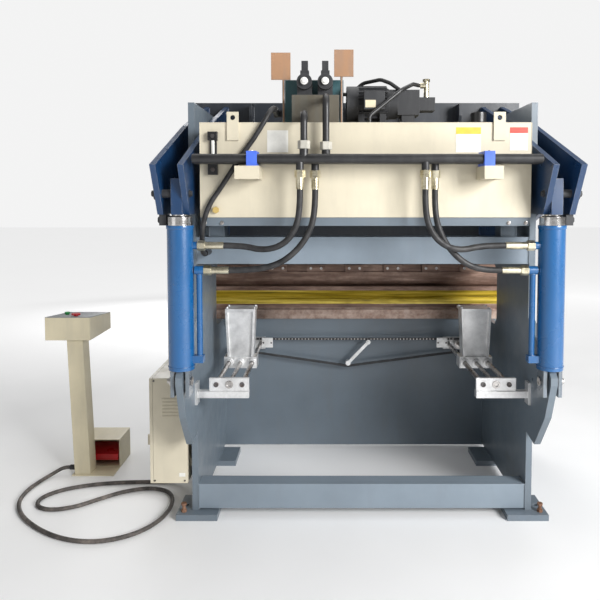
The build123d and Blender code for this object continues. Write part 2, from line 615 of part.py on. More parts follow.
def build_pedestal():
    base = block((-1600, HOOD_X[1]), (70, HOOD_Y[1]), (0, BASE_PLATE))
    x0, x1 = POST_X
    post = plate_xz([(x0, BASE_PLATE), (x1, BASE_PLATE), (x1 + LEAN, CONSOLE_Z[0]),
                     (x0 + LEAN, CONSOLE_Z[0])], *POST_Y)
    save("pedestal_stand", base + post)
    (a, b), (y0, y1), (z0, z1) = CONSOLE_X, CONSOLE_Y, CONSOLE_Z
    side = [(y0, z0), (y0, z1), (y1, z1 - CONSOLE_FALL), (y1, z0)]
    hollow = [(y0 + SHEET, z0 + SHEET), (y0 + SHEET, z1 + 5), (y1 - SHEET, z1 + 5),
              (y1 - SHEET, z0 + SHEET)]
    save("console_body", plate_yz(side, a, b) - plate_yz(hollow, a + SHEET, b - SHEET))
    top = [(y0, z1), (y0, z1 + SHEET), (y1, z1 - CONSOLE_FALL + SHEET), (y1, z1 - CONSOLE_FALL)]
    panel = plate_yz(top, a, b)
    for x, y, _ in BUTTONS.values():
        panel -= rod((x, y, 800), (0, 0, 1), 11, 200)
    save("console_panel", panel)
    for name, (x, y, radius) in BUTTONS.items():
        height = panel_height(y)
        stem = rod((x, y, height - 20), (0, 0, 1), 10.5, 20 + SHEET + BUTTON_GAP)
        stem += rod((x, y, height + SHEET + BUTTON_GAP), (0, 0, 1), radius, BUTTON_HEAD)
        save(name, stem)

    (hx0, hx1), (hy0, hy1) = HOOD_X, HOOD_Y
    hood = block((hx0, hx1), (hy0, hy1), (BASE_PLATE, HOOD_TOP))
    hood -= block((hx0 + 4, hx1 - 4), (hy0 - 1, hy1 - 4), (BASE_PLATE + 4, HOOD_TOP - 4))
    pivot = (hx0, *PEDAL_PIVOT)
    shaft = rod(pivot, (1, 0, 0), 6, hx1 - hx0)
    pedal = plate_yz([(hy0 + 2, 44), (hy0 + 2, 78), (hy1 - 46, 98), (hy1 - 20, 70),
                      (hy1 - 20, 26), (hy1 - 48, 26)], hx0 + 12, hx1 - 12)
    pedal -= rod(pivot, (1, 0, 0), 6 + RUN_FIT, hx1 - hx0)
    save("foot_pedal", pedal)
    save("pedal_hood", hood - shaft, shaft)


# ---- back gauge ---------------------------------------------------------
SPROCKET_Y = 401.0
SPROCKET_R = 28.0
CHAIN_R = 35.0
CHAIN_THICK = 13.0
CHAIN_END = GAUGE_X + CHAIN_R
CARRIAGE_Y = (-5.0, 75.0)
TOWER_TOP = 944.0
FINGER_END = 250.0
GUIDE_X = 530.0
ROLLER = (-40.0, 556.2)
TENSION_PIVOT = (82.0, 684.0)
FRONT_PLATE_Y = (440.0, FRAME_FRONT)


def gauge_fixed(x):
    """End plates, guide rods and the cross bar of one column."""
    rear = block((x - 95, x + 95), (GAUGE_REAR, GAUGE_REAR + 18), (GAUGE_ROD_Z - 32, GAUGE_ROD_Z + 31))
    front = block((x - 90, x + 90), FRONT_PLATE_Y, (GAUGE_ROD_Z - 36, GAUGE_ROD_Z + 36))
    bore = rod((x, GAUGE_REAR - 1, GAUGE_ROD_Z), (0, 1, 0), GAUGE_SCREW_R + RUN_FIT, 1000)
    return [rear - bore, front - bore]


def gauge_carriage(x):
    """Carriage, tapered tower and stop finger of one column."""
    y0, y1 = CARRIAGE_Y
    low, high = GAUGE_ROD_Z - 30, GAUGE_ROD_Z + 32
    carriage = block((x - 88, x + 88), (y0, y1), (low, high))
    for offset in (-GAUGE_ROD_GAP, GAUGE_ROD_GAP):
        carriage -= rod((x + offset, y0 - 1, GAUGE_ROD_Z), (0, 1, 0), GAUGE_ROD_R + RUN_FIT, 90)
    carriage -= rod((x, y0 - 1, GAUGE_ROD_Z), (0, 1, 0), GAUGE_SCREW_R + RUN_FIT, 90)
    web = plate_xz([(x - 70, high), (x + 70, high), (x + 81, TOWER_TOP), (x - 81, TOWER_TOP)],
                   y0 + 14, y0 + 26)
    for edge in (-1, 1):
        rib = [(x + edge * 58, high), (x + edge * 70, high), (x + edge * 81, TOWER_TOP),
               (x + edge * 69, TOWER_TOP)]
        web += plate_xz(rib, y0, y1)
    cap = block((x - 81, x + 81), (y0, y1 + 40), (TOWER_TOP, TOWER_TOP + 14))
    finger = block((x - 24, x + 24), (y0 + 20, FINGER_END), (TOWER_TOP - 50, TOWER_TOP - 30))
    stop = block((x - 34, x + 34), (FINGER_END - 14, FINGER_END), (TOWER_TOP - 60, TOWER_TOP - 30))
    return carriage + web + cap + finger + stop


def build_gauge():
    fixed, rods, bars, brackets = [], [], [], []
    for name, side in SIDES.items():
        x = side * GAUGE_X
        fixed += gauge_fixed(x)
        for offset in (-GAUGE_ROD_GAP, GAUGE_ROD_GAP):
            rods.append(rod((x + offset, GAUGE_REAR + 18, GAUGE_ROD_Z), (0, 1, 0), GAUGE_ROD_R,
                            FRONT_PLATE_Y[0] - GAUGE_REAR - 18))
        bar_x = sorted((side * (GAUGE_X - 95), side * (FRAME_IN - 12)))
        bars.append(block(bar_x, (GAUGE_REAR - 6, GAUGE_REAR + 30), (GAUGE_ROD_Z - 64, GAUGE_ROD_Z - 32)))
        bracket_x = sorted((side * (FRAME_IN - 12), side * FRAME_IN))
        brackets.append(block(bracket_x, (GAUGE_REAR - 16, GAUGE_REAR + 36), (570, 676)))
        save(f"{name}_gauge_slide", gauge_carriage(x))
        screw = rod((x, GAUGE_REAR + 2, GAUGE_ROD_Z), (0, 1, 0), GAUGE_SCREW_R, 448 - GAUGE_REAR)
        screw += rod((x, SPROCKET_Y, GAUGE_ROD_Z), (0, 1, 0), SPROCKET_R, 8)
        screw += rod((x, SPROCKET_Y - 14, GAUGE_ROD_Z), (0, 1, 0), 18, 14)
        save(f"{name}_gauge_screw", screw)
    save("gauge_rods", *rods)
    save("gauge_supports", *fixed, *bars, *brackets, *build_chain())


def build_chain():
    low = GAUGE_ROD_Z - CHAIN_R
    high = GAUGE_ROD_Z + CHAIN_R
    vertex = ROLLER[1] - 22.8
    corners = [(0, high), (CHAIN_END, high), (CHAIN_END, low - 3), (ROLLER[0], vertex),
               (-CHAIN_END, low - 3), (-CHAIN_END, high), (-300, high)]
    loop = FilletPolyline(*corners, radius=[34.5, 33, 20, 33, 34.5])
    closing = Line(loop @ 1, loop @ 0)
    face = make_face(Wire([*loop.edges(), closing]))
    ring = offset(face, CHAIN_THICK / 2) - offset(face, -CHAIN_THICK / 2)
    ring = extrude(Plane(origin=(0, SPROCKET_Y - 1, 0), x_dir=(1, 0, 0), z_dir=(0, -1, 0)) * ring,
                   amount=-10)
    save("sync_chain", ring)
    post = rod((TENSION_PIVOT[0], 372, TENSION_PIVOT[1]), (0, 1, 0), 7, FRAME_FRONT - 372)
    px, pz = TENSION_PIVOT
    rx, rz = ROLLER
    arm = rod((px, 380, pz), (0, 1, 0), 14, 10) + rod((rx, 380, rz), (0, 1, 0), 15, 10)
    length = math.hypot(px - rx, pz - rz)
    along = ((px - rx) / length, (pz - rz) / length)
    across = (-along[1] * 9, along[0] * 9)
    outline = [(rx + across[0], rz + across[1]), (px + across[0], pz + across[1]),
               (px - across[0], pz - across[1]), (rx - across[0], rz - across[1])]
    arm += plate_xz(outline, 380, 390)
    arm += rod((rx, 390, rz), (0, 1, 0), 15.5, 24)
    arm -= rod((px, 379, pz), (0, 1, 0), 7.05, 20)
    save("chain_tensioner", arm)
    guides = []
    for side in SIDES.values():
        x = side * GUIDE_X
        guides.append(block((x - 33, x + 33), (378, 390), (GAUGE_ROD_Z - 12, GAUGE_ROD_Z + 46))
                      + block((x - 8, x + 8), (390, FRAME_FRONT), (GAUGE_ROD_Z - 10, GAUGE_ROD_Z + 10)))
    return [post, *guides]


def main():
    build_frame()
    build_ram()
    build_cylinders()
    lugs = build_tank()
    risers = build_header(lugs)
    build_valves()
    elbow = build_motor()
    build_hoses(elbow, risers)
    build_cabinet()
    build_pedestal()
    build_glands()
    build_gauge()
    print(len(saved), "nodes,", sum(len(s) for s in saved.values()), "solids")


main()
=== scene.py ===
"""Looks of the sheet metal brake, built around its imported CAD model. Metres, +Z up."""

import math
import random

import bmesh
import bpy
from mathutils import Matrix, Vector


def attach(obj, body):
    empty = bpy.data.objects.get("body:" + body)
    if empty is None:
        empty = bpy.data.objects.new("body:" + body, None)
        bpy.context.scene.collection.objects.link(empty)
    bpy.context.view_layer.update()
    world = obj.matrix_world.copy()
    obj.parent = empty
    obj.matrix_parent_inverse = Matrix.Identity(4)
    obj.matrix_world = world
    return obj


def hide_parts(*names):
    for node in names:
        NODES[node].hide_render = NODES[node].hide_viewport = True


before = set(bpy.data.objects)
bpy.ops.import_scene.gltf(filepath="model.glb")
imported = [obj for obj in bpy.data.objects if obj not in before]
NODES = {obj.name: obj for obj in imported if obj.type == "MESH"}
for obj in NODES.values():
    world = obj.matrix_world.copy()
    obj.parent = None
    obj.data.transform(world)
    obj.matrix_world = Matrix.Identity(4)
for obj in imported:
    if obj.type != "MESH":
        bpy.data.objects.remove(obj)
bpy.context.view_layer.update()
MM = 0.001
rng = random.Random(11)


# ---- camera --------------------------------------------------------------
def make_camera():
    """Rear view from standing eye height, a little left of the machine's middle."""
    data = bpy.data.cameras.new("camera")
    data.lens = 36.0
    data.sensor_width = 36.0
    data.shift_x = -0.0417
    data.shift_y = -0.117
    cam = bpy.data.objects.new("camera", data)
    bpy.context.scene.collection.objects.link(cam)
    cam.location = (-0.18, -3.22, 1.55)
    cam.rotation_euler = (math.radians(90 - 2.9), 0, 0)
    bpy.context.scene.camera = cam


make_camera()


# ---- material building ---------------------------------------------------
class Shader:
    """A small wrapper that makes and links the nodes of one material."""

    def __init__(self, name, **sockets):
        self.material = bpy.data.materials.new(name)
        self.material.use_nodes = True
        self.tree = self.material.node_tree
        self.surface = self.tree.nodes["Principled BSDF"]
        for socket, value in sockets.items():
            self.surface.inputs[socket.replace("_", " ")].default_value = value
        self.place = self.node("ShaderNodeTexCoord").outputs["Object"]

    def node(self, kind, **settings):
        made = self.tree.nodes.new(kind)
        for key, value in settings.items():
            setattr(made, key, value)
        return made

    def link(self, source, target):
        self.tree.links.new(source, target)

    def stretched(self, scale):
        """Object coordinates scaled along each axis, for streaks and grain."""
        mapping = self.node("ShaderNodeMapping")
        mapping.inputs["Scale"].default_value = scale
        self.link(self.place, mapping.inputs["Vector"])
        return mapping.outputs["Vector"]

    def noise(self, scale, detail=4, rough=0.55, vector=None):
        made = self.node("ShaderNodeTexNoise")
        made.inputs["Scale"].default_value = scale
        made.inputs["Detail"].default_value = detail
        made.inputs["Roughness"].default_value = rough
        self.link(vector or self.place, made.inputs["Vector"])
        return made.outputs["Fac"]

    def ramp(self, value, *stops):
        """Colour ramp; each stop is (position, colour or grey level)."""
        made = self.node("ShaderNodeValToRGB")
        elements = made.color_ramp.elements
        while len(elements) < len(stops):
            elements.new(0.5)
        for element, (position, colour) in zip(elements, stops):
            element.position = position
            grey = isinstance(colour, (int, float))
            element.color = (colour, colour, colour, 1) if grey else (*colour, 1)
        self.link(value, made.inputs["Fac"])
        return made.outputs["Color"]

    def mix(self, factor, a, b):
        made = self.node("ShaderNodeMix", data_type="RGBA")
        for socket, value in ((0, factor), (6, a), (7, b)):
            if isinstance(value, bpy.types.NodeSocket):
                self.link(value, made.inputs[socket])
            elif socket == 0:
                made.inputs[0].default_value = value
            else:
                made.inputs[socket].default_value = (*value, 1)
        return made.outputs[2]

    def math(self, operation, a, b=0.0):
        made = self.node("ShaderNodeMath", operation=operation, use_clamp=True)
        for i, value in enumerate((a, b)):
            if isinstance(value, bpy.types.NodeSocket):
                self.link(value, made.inputs[i])
            else:
                made.inputs[i].default_value = value
        return made.outputs[0]

    def zone(self, *spans):
        """One inside a block of space, nought outside; each span is (axis, low, high)."""
        parts = self.node("ShaderNodeSeparateXYZ")
        self.link(self.place, parts.inputs[0])
        inside = 1.0
        for axis, low, high in spans:
            above = self.math("GREATER_THAN", parts.outputs[axis], low)
            below = self.math("LESS_THAN", parts.outputs[axis], high)
            inside = self.math("MULTIPLY", self.math("MULTIPLY", above, below), inside)
        return inside

    def edges(self, radius):
        """White along the edges, from how far the rounded normal leaves the flat one."""
        bevel = self.node("ShaderNodeBevel", samples=4)
        bevel.inputs["Radius"].default_value = radius
        flat = self.node("ShaderNodeNewGeometry").outputs["Normal"]
        dot = self.node("ShaderNodeVectorMath", operation="DOT_PRODUCT")
        self.link(bevel.outputs["Normal"], dot.inputs[0])
        self.link(flat, dot.inputs[1])
        return self.ramp(dot.outputs["Value"], (0.80, 1.0), (0.985, 0.0))

    def finish(self, colour=None, rough=None, bump=None, strength=0.1, distance=0.001, soft=0.0):
        if colour is not None:
            self.link(colour, self.surface.inputs["Base Color"])
        if rough is not None:
            self.link(rough, self.surface.inputs["Roughness"])
        normal = None
        if soft:
            bevel = self.node("ShaderNodeBevel", samples=4)
            bevel.inputs["Radius"].default_value = soft
            normal = bevel.outputs["Normal"]
        if bump is not None:
            made = self.node("ShaderNodeBump")
            made.inputs["Strength"].default_value = strength
            made.inputs["Distance"].default_value = distance
            self.link(bump, made.inputs["Height"])
            if normal:
                self.link(normal, made.inputs["Normal"])
            normal = made.outputs["Normal"]
        if normal:
            self.link(normal, self.surface.inputs["Normal"])
        return self.material


def tint(colour, factor):
    return tuple(min(1.0, c * factor) for c in colour)


def paint(name, colour, wear=(0.32, 0.31, 0.30), wear_amount=0.5, rough=(0.32, 0.5),
          grime=0.25, soft=0.0015, coat=0.15, zones=()):
    """Enamel over steel: cloudy colour, dusty streaks, chipped edges and orange peel."""
    s = Shader(name, Coat_Weight=coat, Coat_Roughness=0.25, Specular_IOR_Level=0.5)
    clouds = s.noise(2.2, 6, 0.6)
    body = s.ramp(clouds, (0.3, tint(colour, 0.86)), (0.55, colour), (0.75, tint(colour, 1.12)))
    for tone, spans in zones:
        other = s.ramp(clouds, (0.35, tint(tone, 0.75)), (0.65, tint(tone, 1.2)))
        body = s.mix(s.zone(*spans), body, other)
    streaks = s.noise(7, 5, 0.6, s.stretched((3.0, 3.0, 0.5)))
    dust = s.ramp(streaks, (0.48, 0.0), (0.72, grime))
    body = s.mix(dust, body, tint(tuple(0.5 * c + 0.09 for c in colour), 0.9))
    specks = s.ramp(s.noise(90, 3, 0.7), (0.66, 0.0), (0.74, 0.35 * wear_amount))
    body = s.mix(specks, body, wear)
    ragged = s.ramp(s.noise(28, 6, 0.7), (0.42, 0.0), (0.58, wear_amount))
    chips = s.math("MULTIPLY", s.edges(0.004), ragged)
    body = s.mix(chips, body, wear)
    gloss = s.ramp(s.noise(9, 5), (0.3, rough[0]), (0.7, rough[1]))
    return s.finish(body, gloss, s.noise(320, 2), 0.06, 0.0006, soft)


def steel(name, colour, dark, rough=(0.2, 0.45), grain=(2, 2, 160), metallic=1.0, rust=0.0,
          soft=0.0012, scale=1.0):
    """Bare or plated steel: grain from machining, stains and a little rust."""
    s = Shader(name, Metallic=metallic)
    stains = s.noise(14 * scale, 6, 0.65)
    body = s.ramp(stains, (0.32, dark), (0.62, colour))
    if rust:
        spots = s.ramp(s.noise(30 * scale, 7, 0.7), (0.5, 0.0), (0.66, rust))
        body = s.mix(spots, body, (0.16, 0.065, 0.03))
    lines = s.noise(6, 3, 0.6, s.stretched(grain))
    gloss = s.ramp(s.math("MULTIPLY", stains, lines), (0.12, rough[0]), (0.45, rough[1]))
    return s.finish(body, gloss, lines, 0.12, 0.0004, soft)


def plastic(name, colour, rough=(0.4, 0.55), fine=260, soft=0.0015, strength=0.08):
    """Moulded plastic or rubber with a fine matt texture and dust."""
    s = Shader(name)
    body = s.ramp(s.noise(11, 5), (0.35, tint(colour, 0.85)), (0.7, tint(colour, 1.15)))
    dust = s.ramp(s.noise(5, 6, 0.65), (0.52, 0.0), (0.78, 0.22))
    body = s.mix(dust, body, tuple(0.6 * c + 0.07 for c in colour))
    gloss = s.ramp(s.noise(24, 4), (0.3, rough[0]), (0.7, rough[1]))
    return s.finish(body, gloss, s.noise(fine, 3), strength, 0.0005, soft)


def oiled_tool_steel():
    """Brown preservative-oiled tool steel with rust bloom and lengthwise smears, and gold in the V
    groove that is partly oil film and partly painted reflection.
    """
    s = Shader("oiled_tool_steel", Metallic=0.55, Coat_Weight=0.3, Coat_Roughness=0.3)
    smears = s.noise(5, 6, 0.65, s.stretched((0.7, 6.0, 6.0)))
    body = s.ramp(smears, (0.3, (0.055, 0.028, 0.019)), (0.48, (0.15, 0.085, 0.06)),
                  (0.62, (0.25, 0.165, 0.125)), (0.78, (0.44, 0.33, 0.27)))
    patches = s.ramp(s.noise(17, 7, 0.7), (0.45, 0.0), (0.7, 0.7))
    body = s.mix(patches, body, (0.105, 0.062, 0.045))
    # Gold in the die's V groove: partly an oil film, partly a painted reflection of yellow light in
    # the groove.
    gold_oil_and_painted_reflection = s.ramp(s.noise(4, 6, 0.6, s.stretched((0.6, 14.0, 14.0))),
                  (0.3, (0.14, 0.10, 0.008)), (0.5, (0.42, 0.31, 0.02)), (0.7, (0.80, 0.64, 0.14)))
    groove = s.zone((2, 0.9125, 0.9955), (1, 0.4203, 0.4575))
    body = s.mix(groove, body, gold_oil_and_painted_reflection)
    gloss = s.ramp(s.noise(20, 5), (0.3, 0.28), (0.7, 0.55))
    return s.finish(body, gloss, s.noise(45, 6, 0.7), 0.25, 0.0008, 0.0012)


def hose_rubber(name, colour=(0.018, 0.018, 0.019)):
    """Smooth hose cover with cloth-wrap marks and grey dust."""
    s = Shader(name, Specular_IOR_Level=0.4)
    body = s.ramp(s.noise(30, 5), (0.35, tint(colour, 0.7)), (0.7, tint(colour, 1.9)))
    dust = s.ramp(s.noise(9, 6, 0.7), (0.5, 0.0), (0.75, 0.3))
    body = s.mix(dust, body, (0.09, 0.085, 0.08))
    gloss = s.ramp(s.noise(40, 4), (0.3, 0.38), (0.7, 0.62))
    return s.finish(body, gloss, s.noise(420, 2), 0.25, 0.0005)


def floor_cable_jacket():
    """Grey rubber jacket, scuffed and dusty brown from the workshop floor."""
    s = Shader("floor_cable_jacket", Specular_IOR_Level=0.35)
    body = s.ramp(s.noise(16, 6, 0.65), (0.32, (0.035, 0.032, 0.03)), (0.52, (0.085, 0.076, 0.07)),
                  (0.7, (0.19, 0.16, 0.14)))
    gloss = s.ramp(s.noise(24, 4), (0.3, 0.5), (0.7, 0.75))
    return s.finish(body, gloss, s.noise(180, 4), 0.3, 0.0006)


MAT = {
    "frame": paint("frame_enamel", (0.135, 0.168, 0.200), wear_amount=0.35, grime=0.3),
    "rail": paint("rail_enamel", (0.20, 0.245, 0.29), wear_amount=0.25, grime=0.2),
    # Ram: its near-black colour is painted shade laid over what is grey paint on the ram's rear
    # face.
    "ram": paint("ram_painted_shade_enamel", (0.020, 0.025, 0.034), wear_amount=0.5, grime=0.2),
    "cream": paint("cream_powder_coat", (0.60, 0.545, 0.42), wear=(0.38, 0.33, 0.26),
                   wear_amount=0.3, rough=(0.4, 0.55), grime=0.16, coat=0.05),
    "beige": paint("beige_powder_coat", (0.66, 0.59, 0.42), wear=(0.30, 0.26, 0.2),
                   wear_amount=0.35, rough=(0.42, 0.58), grime=0.2, coat=0.05),
    "blue": paint("blue_enamel", (0.004, 0.090, 0.26), wear=(0.30, 0.29, 0.28),
                  wear_amount=0.5, rough=(0.2, 0.36), grime=0.04, coat=0.5),
    "arm": paint("navy_enamel", (0.006, 0.036, 0.105), wear=(0.34, 0.35, 0.36),
                 wear_amount=0.75, rough=(0.25, 0.42), grime=0.10, coat=0.35),
    "black": paint("black_enamel", (0.014, 0.014, 0.016), wear=(0.16, 0.15, 0.14),
                   wear_amount=0.5, rough=(0.3, 0.5), grime=0.14),
    "cast": paint("black_casting", (0.022, 0.023, 0.026), wear=(0.13, 0.13, 0.13),
                  wear_amount=0.6, rough=(0.45, 0.65), grime=0.3, coat=0.0),
    "barrel": paint("barrel_enamel", (0.004, 0.090, 0.26), wear=(0.30, 0.29, 0.28),
                    wear_amount=0.5, rough=(0.2, 0.36), grime=0.04, coat=0.5,
                    zones=[((0.13, 0.155, 0.18), [(2, 0.0, 0.801)])]),
    "pipe": paint("pipe_wrap", (0.012, 0.012, 0.013), wear=(0.16, 0.15, 0.14),
                  wear_amount=0.5, rough=(0.35, 0.6), grime=0.2,
                  zones=[((0.52, 0.50, 0.44), [(2, 1.7645, 1.7995), (1, -0.70, -0.56)])]),
    "fittings": paint("tank_fitting_finish", (0.012, 0.012, 0.013), wear=(0.16, 0.15, 0.14),
                      rough=(0.2, 0.4), grime=0.1,
                      zones=[((0.50, 0.36, 0.12), [(2, 1.48, 1.53)]),
                             ((0.62, 0.62, 0.58), [(2, 1.704, 1.809), (1, -0.58, -0.5562)])]),
    "flag": paint("flag_primer", (0.36, 0.20, 0.11), wear=(0.32, 0.31, 0.30), rough=(0.5, 0.7),
                  grime=0.5, coat=0.0, zones=[((0.20, 0.20, 0.20), [(1, -0.4015, 0.0)])]),
    "teal": paint("teal_casting", (0.035, 0.105, 0.12), wear=(0.2, 0.2, 0.2),
                  wear_amount=0.5, grime=0.25,
                  zones=[((0.105, 0.092, 0.068), [(1, -0.60, -0.329)])]),
    "tool": oiled_tool_steel(),
    "rail_steel": steel("ground_die_rail", (0.42, 0.33, 0.28), (0.17, 0.11, 0.09), (0.3, 0.5),
                        (160, 2, 2), rust=0.35),
    "machined": steel("machined_steel", (0.62, 0.60, 0.58), (0.33, 0.31, 0.30), rust=0.15),
    "dark_steel": steel("dark_oxide_screws", (0.16, 0.15, 0.15), (0.05, 0.048, 0.046),
                        (0.3, 0.5), rust=0.3, metallic=0.7),
    "label": plastic("blank_label", (0.74, 0.73, 0.68), (0.3, 0.5), strength=0.03),
    "label_yellow": plastic("yellow_label", (0.75, 0.52, 0.05), (0.3, 0.5), strength=0.03),
    "label_red": plastic("red_label", (0.55, 0.05, 0.03), (0.3, 0.5), strength=0.03),
    "chrome": steel("hard_chrome", (0.80, 0.79, 0.78), (0.50, 0.48, 0.46), (0.08, 0.25),
                    (2, 2, 60)),
    "zinc": steel("yellow_zinc_plate", (0.74, 0.69, 0.54), (0.42, 0.37, 0.25), (0.22, 0.4)),
    "aluminium": steel("cast_aluminium", (0.86, 0.86, 0.86), (0.60, 0.60, 0.60), (0.35, 0.55),
                       (90, 90, 4), metallic=0.75),
    "rust": steel("rusty_bolt", (0.30, 0.17, 0.11), (0.13, 0.06, 0.035), (0.6, 0.85), metallic=0.3,
                  rust=0.8, scale=3.0),
    "clamp": plastic("blue_clamp_plastic", (0.055, 0.13, 0.60)),
    "red": plastic("red_plastic", (0.52, 0.010, 0.016), (0.25, 0.4)),
    "green": plastic("green_plastic", (0.02, 0.30, 0.07), (0.25, 0.4)),
    "grey": plastic("grey_plastic", (0.22, 0.23, 0.24)),
    "white": plastic("white_plastic", (0.78, 0.77, 0.74), (0.3, 0.45)),
    "rubber": hose_rubber("hose_cover"),
    "cable": floor_cable_jacket(),
}


# ---- cords ----------------------------------------------------------------
HOSE_D = 0.027
CONDUIT_D = 0.022
CABLE_D = 0.020
ROUTES = {
    "upper_left_hose": [(-287, -655, 1593), (-287, -655, 1505), (-307, -650, 1418),
                        (-362, -642, 1352), (-448, -622, 1328), (-544, -595, 1348),
                        (-625, -595, 1348)],
    "lower_left_hose": [(-223, -605, 1593), (-223, -605, 1494), (-250, -606, 1400),
                        (-308, -604, 1320), (-390, -600, 1262), (-503, -595, 1239),
                        (-603, -595, 1239)],
    "upper_right_hose": [(248, -655, 1593), (248, -655, 1505), (269, -652, 1420),
                         (322, -648, 1356), (404, -636, 1328), (510, -595, 1348),
                         (612, -595, 1348)],
    "lower_right_hose": [(298, -605, 1593), (298, -605, 1494), (322, -606, 1402),
                         (373, -604, 1322), (440, -600, 1264), (519, -595, 1239),
                         (597, -595, 1239)],
    "valve_conduit": [(-410, -480, 1960), (-410, -515, 1960), (-424, -554, 1936),
                      (-452, -569, 1880), (-499, -565, 1808), (-552, -565, 1738),
                      (-598, -565, 1666), (-642, -566, 1598), (-690, -568, 1530),
                      (-715, -568, 1462), (-725, -562, 1400), (-733, -532, 1344),
                      (-738, -488, 1300), (-738, -440, 1300)],
    "floor_cable": [(-940, -10, 130), (-940, -10, 52), (-968, -12, 24), (-1015, -14, 10.5),
                    (-1095, -18, 10.5), (-1220, -20, 10.5), (-1350, -33, 10.5),
                    (-1480, -64, 10.5), (-1590, -118, 10.5), (-1652, -200, 10.5),
                    (-1630, -282, 10.5), (-1545, -320, 10.5), (-1435, -290, 10.5),
                    (-1340, -205, 10.5), (-1240, -125, 10.5), (-1125, -86, 10.5),
                    (-1020, -110, 10.5), (-962, -195, 10.5), (-950, -310, 10.5),
                    (-978, -432, 10.5), (-1058, -535, 10.5), (-1180, -592, 10.5),
                    (-1312, -590, 10.5), (-1445, -538, 10.5), (-1572, -452, 10.5),
                    (-1682, -345, 10.5), (-1748, -225, 10.5), (-1758, -105, 10.5),
                    (-1735, 0, 10.5), (-1700, 78, 16), (-1662, 115, 32), (-1625, 115, 32)],
}


def make_cord(name, diameter, material):
    """One smooth spline through a cord's route, standing for its CAD tube."""
    curve = bpy.data.curves.new(name + "_line", "CURVE")
    curve.dimensions = "3D"
    curve.bevel_depth = diameter / 2
    curve.bevel_resolution = 6
    curve.resolution_u = 10
    curve.use_fill_caps = True
    spline = curve.splines.new("NURBS")
    route = [tuple(c * MM for c in point) for point in ROUTES[name]]
    spline.points.add(len(route) - 1)
    for point, place in zip(spline.points, route):
        point.co = (*place, 1)
    spline.order_u = 3
    spline.use_endpoint_u = True
    piece = bpy.data.objects.new(name + "_line", curve)
    bpy.context.scene.collection.objects.link(piece)
    curve.materials.append(material)
    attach(piece, "root")
    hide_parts(name)


for hose in ("upper_left_hose", "lower_left_hose", "upper_right_hose", "lower_right_hose"):
    make_cord(hose, HOSE_D, MAT["rubber"])
make_cord("valve_conduit", CONDUIT_D, MAT["rubber"])
make_cord("floor_cable", CABLE_D, MAT["cable"])


# ---- mesh building -----------------------------------------------------------
BEVEL_STEPS = 2
HEAD_TURN = 0.3                  # how far bolt heads are turned, in radians
SHARP_ANGLE = math.radians(42)   # edges steeper than this stay sharp
SIDES = (-1, 1)
CYLINDER = (815, -595)           # X and Y of a cylinder's axis
ROD_PIN = (-615, 1575)           # Y and Z of the pins in the ram arms
GAUGE_X, GAUGE_Z = 639, 665      # screw axis of a back gauge column
GAUGE_SPREAD = 62                # rod to screw
CLAMP_PITCH = 235                # along the ram
FRAME_INNER = 799                # just inside a side frame's inner face
TANK_REAR = -550
COIL_FACE = -485                 # front face of a solenoid's stem


